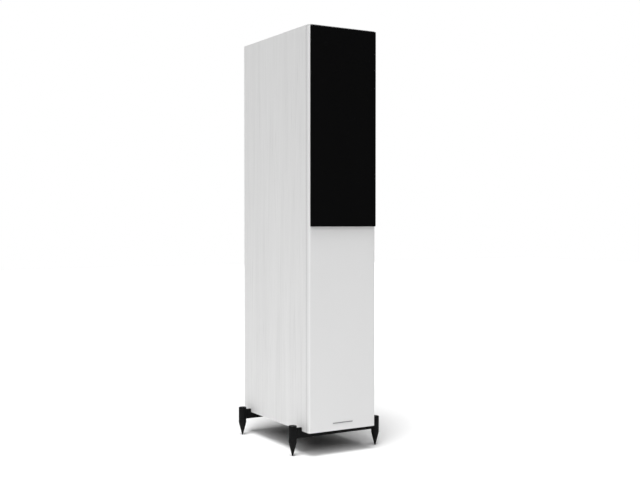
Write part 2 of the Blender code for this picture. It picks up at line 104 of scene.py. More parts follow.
class Surface:
    """A Principled material in object space, with the node chains its surfaces share."""

    def __init__(self, name, colour, roughness, metallic=0.0, specular=0.5):
        self.material = bpy.data.materials.new(name)
        self.material.use_nodes = True
        self.tree = self.material.node_tree
        self.shader = self.tree.nodes["Principled BSDF"]
        self.set("Base Color", (*colour, 1.0))
        self.set("Roughness", roughness)
        self.set("Metallic", metallic)
        self.set("Specular IOR Level", specular)
        self.place = self.add("ShaderNodeTexCoord").outputs["Object"]
        self.normal = None

    def set(self, socket, value):
        self.shader.inputs[socket].default_value = value

    def add(self, kind, inputs=None, **settings):
        node = self.tree.nodes.new(kind)
        for key, value in settings.items():
            setattr(node, key, value)
        for key, value in (inputs or {}).items():
            if isinstance(value, bpy.types.NodeSocket):
                self.tree.links.new(value, node.inputs[key])
            else:
                node.inputs[key].default_value = value
        return node

    def stretched(self, scale):
        return self.add("ShaderNodeMapping", {"Vector": self.place, "Scale": scale}).outputs[0]

    def noise(self, scale, detail=4.0, rough=0.55, warp=0.0, place=None):
        inputs = {"Vector": place or self.place, "Scale": scale, "Detail": detail}
        inputs.update({"Roughness": rough, "Distortion": warp})
        return self.add("ShaderNodeTexNoise", inputs).outputs["Fac"]

    def remap(self, value, low, high, to_low=0.0, to_high=1.0):
        inputs = {0: value, 1: low, 2: high, 3: to_low, 4: to_high}
        return self.add("ShaderNodeMapRange", inputs).outputs[0]

    def math(self, operation, first, second=0.0):
        return self.add("ShaderNodeMath", {0: first, 1: second}, operation=operation).outputs[0]

    def wave(self, axis, pitch):
        """Sine along an axis of object space, from -1 to 1, once per pitch."""
        split = self.add("ShaderNodeSeparateXYZ", {0: self.place})
        return self.math("SINE", self.math("MULTIPLY", split.outputs[axis], 2 * pi / pitch))

    def place_normal(self):
        return self.tree.nodes[self.place.node.name].outputs["Normal"]

    def blend(self, factor, first, second):
        ends = [c if isinstance(c, bpy.types.NodeSocket) else (*c, 1.0) for c in (first, second)]
        mix = self.add("ShaderNodeMix", {0: factor, 6: ends[0], 7: ends[1]}, data_type="RGBA")
        return mix.outputs[2]

    def colour(self, socket):
        self.tree.links.new(socket, self.shader.inputs["Base Color"])

    def tint(self, factor, first, second):
        self.colour(self.blend(factor, first, second))

    def gloss(self, factor, low, high):
        """Roughness that runs from low to high with the factor."""
        roughness = self.remap(factor, 0.0, 1.0, low, high)
        self.tree.links.new(roughness, self.shader.inputs["Roughness"])

    def bump(self, height, strength, depth):
        """Bump on top of any bump that was added before it."""
        inputs = {"Height": height, "Strength": strength, "Distance": depth}
        if self.normal:
            inputs["Normal"] = self.normal
        self.normal = self.add("ShaderNodeBump", inputs).outputs[0]
        self.tree.links.new(self.normal, self.shader.inputs["Normal"])


def wood_wrap(name, grain, painted_shade_below=False):
    """Whitewashed oak foil: long pale figure and fine darker pores along the grain's axis.
    The faces that look down can be turned black: painted shade that deepens the shadow
    on the floor under the cabinet."""
    across, along, finer, pore_along = 46.0, 1.7, 5.5, 9.0
    stretch = [across] * 3
    stretch[grain] = along
    fine = [value * finer for value in stretch]
    fine[grain] = pore_along
    made = Surface(name, (0.58, 0.58, 0.575), 0.5, specular=0.35)
    figure = made.noise(1.0, 5.0, 0.6, 0.9, made.stretched(stretch))
    pores = made.noise(1.0, 3.0, 0.5, 0.2, made.stretched(fine))
    patches = made.noise(7.0, 2.0)
    streaks = made.remap(pores, 0.56, 0.74)
    body = made.remap(figure, 0.32, 0.68)
    fine_share = made.math("MULTIPLY", streaks, 0.45)
    broad_share = made.math("MULTIPLY", body, 0.45)
    mixed = made.math("ADD", fine_share, broad_share)
    mixed = made.math("ADD", mixed, made.math("MULTIPLY", patches, 0.20))
    foil = made.blend(mixed, (0.735, 0.735, 0.734), (0.625, 0.625, 0.624))
    # faces that look down turn black: painted shade that darkens the floor under the cabinet
    if painted_shade_below:
        facing = made.add("ShaderNodeSeparateXYZ", {0: made.place_normal()}).outputs["Z"]
        foil = made.blend(made.remap(facing, -0.6, -0.8), foil, (0.010, 0.010, 0.010))
    made.colour(foil)
    made.gloss(mixed, 0.42, 0.60)
    made.bump(streaks, 0.35, -0.00008)
    made.bump(figure, 0.20, 0.00006)
    return made.material


def white_lacquer():
    """Satin white with a faint orange peel."""
    made = Surface("satin_white_lacquer", (0.72, 0.72, 0.72), 0.38, specular=0.4)
    cloud = made.noise(5.0, 3.0)
    peel = made.noise(620.0, 2.0)
    made.tint(cloud, (0.700, 0.700, 0.700), (0.683, 0.683, 0.684))
    made.gloss(peel, 0.34, 0.44)
    made.bump(peel, 0.12, 0.00004)
    return made.material


def speaker_cloth():
    """Fine black warp knit: ribs along Z crossed by a shallower thread."""
    made = Surface("black_grille_knit", (0.003, 0.003, 0.003), 0.95, specular=0.02)
    rib = made.wave("X", 0.0011)
    cross = made.wave("Z", 0.0009)
    knit = made.remap(made.math("MULTIPLY", rib, cross), -1.0, 1.0)
    fuzz = made.noise(2600.0, 2.0)
    height = made.math("MULTIPLY", knit, 0.75)
    height = made.math("ADD", height, made.math("MULTIPLY", fuzz, 0.25))
    made.tint(height, (0.0008, 0.0008, 0.0008), (0.0050, 0.0050, 0.0052))
    made.gloss(height, 0.85, 1.0)
    made.bump(height, 0.6, 0.00018)
    return made.material


def grained(
    name, colour, roughness, metallic=0.0, specular=0.5, scale=900.0, depth=0.00008, spread=0.25
):
    """Moulded, coated or cast surface: fine bump with a little change of tone and gloss."""
    made = Surface(name, colour, roughness, metallic, specular)
    grain = made.noise(scale, 3.0, 0.6)
    broad = made.noise(28.0, 4.0)
    light = [min(1.0, c * (1 + spread)) for c in colour]
    dark = [c * (1 - spread) for c in colour]
    made.tint(made.remap(broad, 0.3, 0.7), dark, light)
    made.gloss(grain, max(0.05, roughness - 0.09), min(1.0, roughness + 0.09))
    made.bump(grain, 0.5, depth)
    return made.material


def brushed(name, colour, roughness, pitch=0.0006, axis=0):
    """Metal with fine straight marks along one axis."""
    made = Surface(name, colour, roughness, 1.0)
    stretch = [1 / pitch] * 3
    stretch[axis] = 12.0
    marks = made.noise(1.0, 3.0, 0.6, 0.0, made.stretched(stretch))
    made.tint(marks, [c * 0.82 for c in colour], colour)
    made.gloss(marks, roughness - 0.08, roughness + 0.12)
    made.bump(marks, 0.3, 0.00002)
    return made.material


def cone_cloth():
    """Glossy black fibre weave under clear resin."""
    made = Surface("woven_cone_cloth", (0.012, 0.012, 0.013), 0.42, specular=0.4)
    over = made.math("MULTIPLY", made.wave("X", 0.0052), made.wave("Z", 0.0052))
    sign = made.remap(over, -0.25, 0.25)
    threads = made.wave("X", 0.00065)
    picks = made.wave("Z", 0.00065)
    made.tint(sign, (0.008, 0.008, 0.009), (0.026, 0.026, 0.028))
    made.gloss(sign, 0.34, 0.52)
    made.bump(sign, 0.4, 0.0001)
    made.bump(made.math("ADD", threads, picks), 0.15, 0.00004)
    made.set("Coat Weight", 0.25)
    made.set("Coat Roughness", 0.25)
    return made.material


def dome_silk():
    """Fine even weave under a matt coating."""
    made = Surface("coated_silk", (0.010, 0.010, 0.011), 0.5, specular=0.35)
    weave = made.math("MULTIPLY", made.wave("X", 0.0005), made.wave("Z", 0.0005))
    made.tint(made.remap(weave, -1.0, 1.0), (0.007, 0.007, 0.008), (0.018, 0.018, 0.020))
    made.gloss(made.noise(300.0), 0.4, 0.6)
    made.bump(weave, 0.25, 0.00004)
    return made.material


def winding(name, colour):
    """Enamelled wire laid turn on turn, seen as fine ridges with a bright lacquer."""
    made = Surface(name, colour, 0.3, 0.9)
    turns = made.wave("Z", 0.0009)
    made.tint(made.remap(turns, -1.0, 1.0), [c * 0.45 for c in colour], colour)
    made.gloss(made.noise(400.0), 0.22, 0.42)
    made.bump(turns, 0.6, 0.0002)
    return made.material


def fibre_mat():
    """Tangled white strands."""
    made = Surface("polyester_fibre", (0.74, 0.74, 0.72), 0.95, specular=0.1)
    strands = made.noise(160.0, 8.0, 0.7, 1.6)
    made.tint(strands, (0.55, 0.55, 0.53), (0.82, 0.82, 0.80))
    made.bump(strands, 0.9, 0.0012)
    made.set("Sheen Weight", 0.3)
    return made.material


def bare_board():
    """Pressed brown fibres with nothing on them."""
    made = Surface("bare_fibreboard", (0.42, 0.30, 0.19), 0.85, specular=0.2)
    chips = made.noise(420.0, 6.0, 0.7)
    made.tint(chips, (0.30, 0.21, 0.13), (0.50, 0.37, 0.24))
    made.bump(chips, 0.5, 0.0002)
    return made.material


def circuit_board():
    """Green lacquer over faint raised tracks."""
    made = Surface("circuit_board", (0.02, 0.12, 0.05), 0.4)
    tracks = made.add("ShaderNodeTexBrick", {"Vector": made.place, "Scale": 60.0}).outputs["Fac"]
    made.tint(tracks, (0.015, 0.10, 0.045), (0.03, 0.17, 0.07))
    made.gloss(made.noise(500.0), 0.3, 0.5)
    made.bump(tracks, 0.3, 0.0001)
    return made.material


WRAP_UP = wood_wrap("pale_oak_wrap_upright", 2)
WRAP_ACROSS = wood_wrap("pale_oak_wrap_across", 0)
# oak foil whose downward faces are black: painted shade under the cabinet
WRAP_PAINTED_SHADE_BELOW = wood_wrap("pale_oak_wrap_painted_shade_below", 0, painted_shade_below=True)
LACQUER = white_lacquer()
CLOTH = speaker_cloth()
PLASTIC = grained("black_moulded_plastic", (0.012, 0.012, 0.013), 0.45, specular=0.35)
POWDER = grained("black_powder_coat", (0.0035, 0.0035, 0.0038), 0.5, specular=0.10, scale=1500.0)
CHASSIS = grained("dark_cast_chassis", (0.020, 0.020, 0.021), 0.42, 0.3, scale=700.0)
RUBBER = grained("matt_rubber", (0.010, 0.010, 0.010), 0.6, specular=0.3, scale=1200.0)
CONE = cone_cloth()
SILK = dome_silk()
SPIDER = grained(
    "amber_spider_cloth", (0.42, 0.27, 0.09), 0.85, specular=0.2, scale=1600.0, depth=0.0002
)
FERRITE = grained("ground_ferrite", (0.035, 0.035, 0.037), 0.6, 0.1, scale=500.0)
ZINC = brushed("zinc_plated_steel", (0.55, 0.56, 0.58), 0.35)
GOLD = brushed("gold_plate", (0.83, 0.60, 0.24), 0.22, pitch=0.0003, axis=1)
TRIM = brushed("satin_metal_trim", (0.30, 0.30, 0.31), 0.4)
SCREW = grained("black_screw_steel", (0.020, 0.020, 0.021), 0.35, 0.7, scale=1200.0)
RED = grained("red_knob_plastic", (0.36, 0.010, 0.010), 0.3, spread=0.12, depth=0.00003)
COPPER = winding("enamelled_copper", (0.62, 0.28, 0.13))
FILM = grained("capacitor_wrap", (0.03, 0.07, 0.24), 0.35, spread=0.15, depth=0.00004)
SLEEVE = grained("wire_sleeve", (0.03, 0.03, 0.03), 0.5, spread=0.3)
FIBRE = fibre_mat()
BOARD = bare_board()
CIRCUIT = circuit_board()


# Mesh tools


def add_piece(name, bm, material, sharp=SHARP):
    """Turn a bmesh into a shaded object whose faces look outward."""
    bmesh.ops.recalc_face_normals(bm, faces=bm.faces)
    if bm.calc_volume(signed=True) < 0:
        bmesh.ops.reverse_faces(bm, faces=bm.faces)
    mesh = bpy.data.meshes.new(name)
    bm.to_mesh(mesh)
    bm.free()
    mesh.shade_smooth()
    mesh.set_sharp_from_angle(angle=radians(sharp))
    mesh.materials.append(material)
    piece = bpy.data.objects.new(name, mesh)
    bpy.context.scene.collection.objects.link(piece)
    return piece


def bevelled(piece, width, segments=3, angle=35.0):
    """Round a piece's edges that are sharper than an angle."""
    edge = piece.modifiers.new("soft_edges", "BEVEL")
    edge.width = width
    edge.segments = segments
    edge.limit_method = "ANGLE"
    edge.angle_limit = radians(angle)
    edge.harden_normals = True
    return piece


def settle(piece, body, slot, *nodes):
    """Ride on a body and stand for CAD nodes, which are hidden. The slot argument is not used."""
    if nodes:
        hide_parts(*nodes)
    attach(piece, body)
    return piece


def softened(points, radius, closed, steps=3):
    """Round an outline's corners: each one becomes a short quadratic curve."""
    count = len(points)
    result = []
    for i, point in enumerate(points):
        if not closed and i in (0, count - 1):
            result.append(tuple(point))
            continue
        corner = Vector(point)
        before = Vector(points[i - 1]) - corner
        after = Vector(points[(i + 1) % count]) - corner
        reach = min(radius, before.length * 0.45, after.length * 0.45)
        start = corner + before.normalized() * reach
        end = corner + after.normalized() * reach
        for k in range(steps + 1):
            t = k / steps
            spot = start * (1 - t) ** 2 + corner * (2 * t * (1 - t)) + end * t * t
            result.append(tuple(spot))
    return result


def lathe_mesh(profile, centre, axis="Y", segments=96, ripple=None):
    """Turn (radius, height) points. Heights run to the back with axis Y, up with Z.
    ripple(angle, height) scales the radius, for flutes and knurls."""
    bm = bmesh.new()
    rings = []
    for radius, height in profile:
        ring = []
        for k in range(segments if radius > CENTRE_LINE else 1):
            angle = 2 * pi * k / segments
            r = radius * (ripple(angle, height) if ripple else 1.0)
            u, v = r * cos(angle), r * sin(angle)
            spot = (u, height, v) if axis == "Y" else (u, v, height)
            ring.append(bm.verts.new(Vector(centre) + Vector(spot)))
        rings.append(ring)
    pairs = list(zip(rings, rings[1:]))
    if profile[0][0] > CENTRE_LINE:
        pairs.append((rings[-1], rings[0]))
    for a, b in pairs:
        for k in range(segments):
            n = (k + 1) % segments
            corners = (a[k % len(a)], a[n % len(a)], b[n % len(b)], b[k % len(b)])
            bm.faces.new(list(dict.fromkeys(corners)))
    return bm


def lathe(name, profile, material, centre, soft=0.0, **options):
    """Turned piece whose profile corners are eased by soft."""
    closed = profile[0][0] > CENTRE_LINE
    outline = softened(profile, soft, closed) if soft else profile
    return add_piece(name, lathe_mesh(outline, centre, **options), material)


def prism_mesh(outline, low, high, axis):
    """Extrude a closed outline along an axis; it lies in the other two, in XYZ order."""
    bm = bmesh.new()
    others = [i for i in range(3) if i != axis]
    rings = []
    for level in (low, high):
        ring = []
        for u, v in outline:
            spot = [0.0, 0.0, 0.0]
            spot[others[0]], spot[others[1]], spot[axis] = u, v, level
            ring.append(bm.verts.new(spot))
        rings.append(ring)
    bm.faces.new(rings[0])
    bm.faces.new(rings[1][::-1])
    for k in range(len(outline)):
        n = (k + 1) % len(outline)
        bm.faces.new((rings[0][k], rings[0][n], rings[1][n], rings[1][k]))
    return bm


def rounded_box(half_u, half_v, radius, steps=6, centre=(0.0, 0.0)):
    """Outline of a rectangle with round corners."""
    points = []
    for quarter, (su, sv) in enumerate(((1, 1), (-1, 1), (-1, -1), (1, -1))):
        for k in range(steps + 1):
            angle = pi / 2 * (quarter + k / steps)
            u = centre[0] + su * (half_u - radius) + radius * cos(angle)
            v = centre[1] + sv * (half_v - radius) + radius * sin(angle)
            points.append((u, v))
    return points


def combine(piece, tools, operation):
    """Apply exact booleans with temporary tool meshes, and keep only the result."""
    made = []
    for bm in tools:
        tool = add_piece("tool", bm, piece.data.materials[0])
        made.append(tool)
        step = piece.modifiers.new("step", "BOOLEAN")
        step.operation = operation
        step.object = tool
    graph = bpy.context.evaluated_depsgraph_get()
    mesh = bpy.data.meshes.new_from_object(piece.evaluated_get(graph))
    piece.modifiers.clear()
    piece.data = mesh
    for tool in made:
        bpy.data.objects.remove(tool, do_unlink=True)
    mesh.shade_smooth()
    mesh.set_sharp_from_angle(angle=radians(SHARP))
    return piece


def screw_head(bm, centre, direction, radius, height):
    """Button head with a hexagon socket, standing on a surface."""
    segments = 24
    turn = Vector((0, 0, 1)).rotation_difference(Vector(direction)).to_matrix()
    rim, crown, socket = radius * 0.86, radius * 0.62, radius * 0.44
    levels = [(radius, 0.0, False), (radius, height * 0.45, False), (rim, height * 0.85, False)]
    levels += [(crown, height, False), (socket, height, True), (socket, height * 0.25, True)]
    rings = []
    for r, h, hexagon in levels:
        ring = []
        for k in range(segments):
            angle = 2 * pi * k / segments
            if hexagon:
                folded = angle % (pi / 3) - pi / 6
                reach = r * cos(pi / 6) / cos(folded)
            else:
                reach = r
            spot = turn @ Vector((reach * cos(angle), reach * sin(angle), h))
            ring.append(bm.verts.new(Vector(centre) + spot))
        rings.append(ring)
    bm.faces.new(rings[0][::-1])
    bm.faces.new(rings[-1])
    for a, b in zip(rings, rings[1:]):
        for k in range(segments):
            n = (k + 1) % segments
            bm.faces.new((a[k], a[n], b[n], b[k]))


def screws(name, body, centres, direction, radius, height):
    """One piece with a screw head at each place."""
    bm = bmesh.new()
    for centre in centres:
        screw_head(bm, centre, direction, radius, height)
    return settle(add_piece(name, bm, SCREW), body, "black_powder")


def circle_points(centre, radius, count, start=0.0):
    """Points round a drive unit's axis, in its front plane."""
    points = []
    for k in range(count):
        angle = 2 * pi * k / count + start
        points.append(Vector(centre) + Vector((radius * cos(angle), 0.0, radius * sin(angle))))
    return points


def repaint(node, material, bevel=0.0):
    """Give a CAD node a procedural material and, if asked, eased edges."""
    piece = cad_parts[node]
    for index in range(len(piece.material_slots)):
        piece.material_slots[index].material = material
    if not piece.material_slots:
        piece.data.materials.append(material)
    if bevel:
        bevelled(piece, bevel)
    return piece


# Cabinet


def make_cabinet():
    """Foil on the outer boards, with black painted shade on the bottom board's downward faces, and
    bare fibreboard on the braces.
    """
    wrapped_edge, sawn_edge = 0.0007, 0.0008
    for node in ("side_panel_left", "side_panel_right", "back_panel"):
        repaint(node, WRAP_UP, wrapped_edge)
    repaint("top_panel", WRAP_ACROSS, wrapped_edge)
    # the bottom board's downward faces are black: painted shade under the cabinet
    repaint("bottom_panel", WRAP_PAINTED_SHADE_BELOW, wrapped_edge)
    for node in ("brace_lower", "brace_upper"):
        repaint(node, BOARD, sawn_edge)


def front_corners(half, front):
    """The front board's two round vertical edges, seen from above."""
    radius, steps = 0.0048, 12
    corners = []
    for side, start in ((-1, 180), (1, 270)):
        for k in range(steps + 1):
            angle = radians(start + 90 * k / steps)
            x = side * (half - radius) + radius * cos(angle)
            corners.append((x, front + radius + radius * sin(angle)))
    return corners


def make_baffle():
    """Lacquered front board with round vertical edges and true round recesses."""
    low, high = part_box("front_baffle")
    seam, overlap = 0.0008, 0.002
    slab_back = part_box("side_panel_left")[0][1] - seam
    half = high[0]
    outline = [(half, slab_back), (-half, slab_back)] + front_corners(half, low[1])
    board = add_piece("front_board", prism_mesh(outline, low[2], high[2], 2), LACQUER)
    inner = half_size("back_panel").x
    inside_low, inside_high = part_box("back_panel")
    start = slab_back - overlap
    plug = [(-inner, start), (inner, start), (inner, high[1]), (-inner, high[1])]
    combine(board, [prism_mesh(plug, inside_low[2], inside_high[2], 2)], "UNION")
    cutters = []
    for node, recess, hole in (
        ("tweeter_faceplate", 0.0046, 0.036),
        ("midbass_basket", 0.0041, 0.064),
        ("bass_basket", 0.0041, 0.064),
    ):
        rim = half_size(node).x + 0.0004
        through = high[1] - low[1] + 0.01
        profile = [(0, -0.01), (rim, -0.01), (rim, recess)]
        profile += [(hole, recess), (hole, through), (0, through)]
        centre = (0, FRONT, middle(node).z)
        cutters.append(lathe_mesh(profile, centre, segments=120))
    combine(board, cutters, "DIFFERENCE")
    bevelled(board, 0.0004, 2)
    settle(board, CABINET, "white_satin", "front_baffle")
    make_seam_seal_and_shade(half - 0.0002, inner, slab_back, low[2], high[2])


def make_seam_seal_and_shade(half, inner, front, low_z, high_z):
    """Dark rubber seal between the front board and the carcass; its black is also painted shade
    that makes the seam read as a dark line.
    """
    depth, inset, clearance, corner = 0.0007, 0.0002, 0.0004, 0.001
    half_z = (high_z - low_z) / 2
    spot = (0.0, (low_z + high_z) / 2)
    outer = rounded_box(half, half_z - inset, corner, 3, spot)
    opening = rounded_box(inner + clearance, half_z - (half - inner), corner, 3, spot)
    # black rubber in the seam: a seal, and painted shade for the groove
    seal = add_piece("baffle_seal_and_seam_shade", prism_mesh(outer, front, front + depth, 1), RUBBER)
    combine(seal, [prism_mesh(opening, front - depth, front + 2 * depth, 1)], "DIFFERENCE")
    settle(seal, CABINET, "black_plastic")


def make_badge():
    """Plain strip of satin metal where the photographed one carries a mark."""
    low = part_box("badge_strip")[0]
    centre, half = middle("badge_strip"), half_size("badge_strip")
    outline = rounded_box(half.x, half.z, 0.0008, 5, (centre.x, centre.z))
    bar = add_piece("badge_bar", prism_mesh(outline, low[1], FRONT + 0.0001, 1), TRIM)
    bevelled(bar, 0.0002, 2)
    settle(bar, CABINET, "silver_trim", "badge_strip")


# Grille


def grille_bars():
    """Heights of the frame's crossbars, from the bottom one up."""
    low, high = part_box("grille_frame")
    midbass, bass = middle("midbass_basket").z, middle("bass_basket").z
    flange = half_size("midbass_basket").z
    return [low[2] + 0.005, (midbass + bass) / 2, midbass + flange + 0.004, high[2] - 0.005]


def window_dip(x, z, bars, window_x):
    """How far the cloth sinks at a place, which is nothing over the frame's bars."""
    below = max(b for b in bars if b <= z) if z > bars[0] else bars[0]
    above = min(b for b in bars if b > z) if z < bars[-1] else bars[-1]
    if not below < z < above or abs(x) > window_x:
        return 0.0
    across = cos(pi / 2 * x / window_x)
    up = sin(pi * (z - below) / (above - below))
    return WINDOW_DIP * across * up


def knit_face(bm, half_x, half_z, mid_z, front):
    """Flat middle of the cloth, and its rim of points in order."""
    columns, rows, window_x = 44, 118, half_x - 0.013
    bars = grille_bars()
    grid = []
    for i in range(columns + 1):
        x = -(half_x - EASE) + 2 * (half_x - EASE) * i / columns
        line = []
        for k in range(rows + 1):
            z = mid_z - (half_z - EASE) + 2 * (half_z - EASE) * k / rows
            line.append(bm.verts.new((x, front + window_dip(x, z, bars, window_x), z)))
        grid.append(line)
    for i in range(columns):
        for k in range(rows):
            bm.faces.new((grid[i][k], grid[i + 1][k], grid[i + 1][k + 1], grid[i][k + 1]))
    rim = [grid[i][0] for i in range(columns + 1)]
    rim += [grid[columns][k] for k in range(1, rows + 1)]
    rim += [grid[i][rows] for i in range(columns - 1, -1, -1)]
    rim += [grid[0][k] for k in range(rows - 1, 0, -1)]
    return rim


def knit_path(side):
    """(depth, way out from the rim) of the cloth round the edge, down the side and into
    the frame's back."""
    angles = [radians(22.5 * j) for j in range(1, 5)]
    path = [(EASE * (1 - cos(a)), EASE * sin(a)) for a in angles]
    behind = side - KNIT * 0.4
    path += [(side * 0.6, EASE), (side - KNIT, EASE), (behind, EASE - KNIT)]
    return path + [(behind, EASE - 0.004), (behind, EASE - HEM)]


def fold_round(bm, rim, path, half_x, half_z, mid_z, front):
    """Carry the cloth outward and back from its rim along a path."""
    near = 1e-6
    previous = rim
    for y, out in path:
        ring = []
        for start in rim:
            x, z = start.co.x, start.co.z
            at_x = abs(abs(x) - (half_x - EASE)) < near
            at_z = abs(abs(z - mid_z) - (half_z - EASE)) < near
            way_x = float(np.sign(x)) if at_x else 0.0
            way_z = float(np.sign(z - mid_z)) if at_z else 0.0
            way = out * (TUCK if at_x and at_z and out > 0 else 1.0)
            ring.append(bm.verts.new((x + way_x * way, front + y, z + way_z * way)))
        for k in range(len(rim)):
            n = (k + 1) % len(rim)
            bm.faces.new((previous[k], previous[n], ring[n], ring[k]))
        previous = ring


def knit_object(bm):
    """The cloth as one open sheet whose front looks forward."""
    mesh = bpy.data.meshes.new("grille_knit")
    bmesh.ops.recalc_face_normals(bm, faces=bm.faces)
    bm.to_mesh(mesh)
    bm.free()
    mesh.shade_smooth()
    mesh.materials.append(CLOTH)
    cloth = bpy.data.objects.new("grille_knit", mesh)
    bpy.context.scene.collection.objects.link(cloth)
    if sum(p.normal.y * p.area for p in mesh.polygons if abs(p.normal.y) > 0.9) > 0:
        mesh.flip_normals()
    thick = cloth.modifiers.new("thickness", "SOLIDIFY")
    thick.thickness = KNIT
    thick.offset = -1.0
    return cloth


def make_grille():
    """Knit stretched over the frame: eased edges, a faint dip over each window, and a hem
    folded in and let into the frame's back."""
    low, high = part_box("grille_cloth")
    half_x, half_z = high[0], (high[2] - low[2]) / 2
    mid_z = (high[2] + low[2]) / 2
    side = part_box("grille_frame")[1][1] - low[1]
    bm = bmesh.new()
    rim = knit_face(bm, half_x, half_z, mid_z, low[1])
    fold_round(bm, rim, knit_path(side), half_x, half_z, mid_z, low[1])
    cloth = knit_object(bm)
    settle(cloth, "grille", "grille_cloth", "grille_cloth")
    repaint("grille_frame", PLASTIC, 0.0006)


# Drive units


def cap_profile(radius, height, apex, skin, steps=14):
    """Spherical dome of even thickness that bulges to the front."""
    sphere = (radius * radius + height * height) / (2 * height)
    widest = asin(radius / sphere)
    centre = apex + sphere
    angles = [widest * i / steps for i in range(steps + 1)]
    outer = [(sphere * sin(a), centre - sphere * cos(a)) for a in angles]
    inner = [((sphere - skin) * sin(a), centre - (sphere - skin) * cos(a)) for a in angles]
    return outer + inner[::-1]


def roll_profile(centre, radius, front, skin, outer_lip, inner_lip, steps=16):
    """Half-round surround with a flat lip each side."""
    back = front + skin
    angles = [pi * i / steps for i in range(steps + 1)]
    top = [(centre + radius * cos(a), front - radius * sin(a)) for a in angles]
    under = [(centre + (radius - skin) * cos(a), back - radius * sin(a)) for a in angles]
    outline = [(outer_lip, back), (outer_lip, front)] + top
    outline += [(inner_lip, front), (inner_lip, back)] + under[::-1]
    return outline


def make_surround(unit, centre):
    """Rubber half roll between the cone's rim and the chassis, with a flat lip each side. How far
    each point would follow the cone is worked out but not used.
    """
    node = f"{unit}_surround"
    outer = half_size(node).x
    cone = half_size(f"{unit}_cone").x
    roll_centre, roll_radius, front, skin, lap = 0.0520, 0.0040, 0.0025, 0.0008, 0.0014
    profile = roll_profile(roll_centre, roll_radius, front, skin, outer, cone - lap)
    roll = add_piece(f"{unit}_rubber_surround", lathe_mesh(profile, centre, segments=120), RUBBER)
    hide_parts(node)
    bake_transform(roll)
    count = len(roll.data.vertices)
    points = np.empty(count * 3)
    roll.data.vertices.foreach_get("co", points)
    points = points.reshape(-1, 3) - np.array(centre)
    reach = np.hypot(points[:, 0], points[:, 2])
    still = outer - SURROUND_LIP
    share = np.clip((still - reach) / (still - cone), 0.0, 1.0)
    share = share * share * (3 - 2 * share)


def make_chassis(unit, centre, flange):
    """Cast basket: front flange, bowl with six windows, and the seat of the magnet."""
    ring = [(flange - 0.0128, 0.0036), (flange - 0.0128, 0.0010), (flange - 0.0118, SUNK)]
    ring += [(flange, SUNK), (flange, 0.0038), (0.0630, 0.0038), (0.0625, 0.0120)]
    ring += [(0.0600, 0.0260), (0.0540, 0.0420), (0.0450, 0.0520), (0.0450, 0.0540)]
    ring += [(0.0200, 0.0540), (0.0200, 0.0522), (0.0400, 0.0522), (0.0400, 0.0372)]
    ring += [(0.0530, 0.0372), (0.0578, 0.0255), (0.0600, 0.0120), (0.0595, 0.0055)]
    ring += [(0.0560, 0.0045), (0.0560, 0.0036)]
    basket = lathe(f"{unit}_chassis", ring, CHASSIS, centre, 0.0005, segments=120)
    width, start, end, reach = 0.011, 0.0145, 0.0345, 0.075
    outline = [(-width, start), (width, start), (width, end), (-width, end)]
    slots = []
    for turn in (30, 90, 150):
        slot = prism_mesh(outline, -reach, reach, 2)
        slot.transform(Matrix.Rotation(radians(turn), 4, "Y"))
        slot.transform(Matrix.Translation(centre))
        slots.append(slot)
    combine(basket, slots, "DIFFERENCE")
    settle(basket, CABINET, "driver_alloy", f"{unit}_basket")


def make_cone(unit, centre, body):
    """Woven cone, a little steeper at its rim."""
    rim, neck, front, depth = half_size(f"{unit}_cone").x, 0.0166, 0.0036, 0.0214
    skin, steps = 0.0008, 14
    front_face, back_face = [], []
    for k in range(steps + 1):
        t = k / steps
        radius = rim + (neck - rim) * t
        level = front + depth * (1.25 * t - 0.25 * t * t)
        front_face.append((radius, level))
        back_face.append((radius, level + skin))
    outline = front_face + back_face[::-1]
    cone = lathe(f"{unit}_woven_cone", outline, CONE, centre, segments=120)
    settle(cone, body, "woven_cone", f"{unit}_cone")


def make_cap(unit, centre, body):
    """Soft dust cap over the voice coil."""
    height, skin = 0.0072, 0.0007
    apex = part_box(f"{unit}_dust_cap")[0][1] - FRONT
    outline = cap_profile(half_size(f"{unit}_dust_cap").x, height, apex, skin)
    cap = lathe(f"{unit}_soft_cap", outline, SILK, centre)
    settle(cap, body, "silk_dome", f"{unit}_dust_cap")


def make_woofer(unit):
    """Cone unit, with six screws round its flange."""
    centre = (0.0, FRONT, middle(f"{unit}_basket").z)
    body = f"{unit}_moving_cone"
    flange = half_size(f"{unit}_basket").x
    make_chassis(unit, centre, flange)
    make_surround(unit, centre)
    make_cone(unit, centre, body)
    make_cap(unit, centre, body)
    spots = circle_points(Vector(centre) + Vector((0, SUNK, 0)), flange - DRIVER_INSET, 6, pi / 6)
    screws(f"{unit}_screws", CABINET, spots, (0, -1, 0), *WOOFER_SCREW)
    for part, material in (
        ("spider", SPIDER),
        ("voice_coil", COPPER),
        ("top_plate", ZINC),
        ("magnet", FERRITE),
        ("yoke", ZINC),
    ):
        repaint(f"{unit}_{part}", material)


def dome_profile():
    """Tweeter dome, the small roll round it and its flat lip, of even thickness."""
    lip, skin, radius, height = 0.0066, 0.0005, 0.0120, 0.0042
    roll, half_width, rise, edge, steps = 0.0142, 0.0017, 0.0016, 0.0165, 10
    crown = cap_profile(radius, height, lip - height, skin, 14)
    half = len(crown) // 2
    angles = [pi * i / steps for i in range(steps + 1)]
    top = [(roll - half_width * cos(a), lip - rise * sin(a)) for a in angles]
    under = [(roll - (half_width - 0.0004) * cos(a), lip + skin - rise * sin(a)) for a in angles]
    return crown[:half] + top + [(edge, lip), (edge, lip + skin)] + under[::-1] + crown[half:]


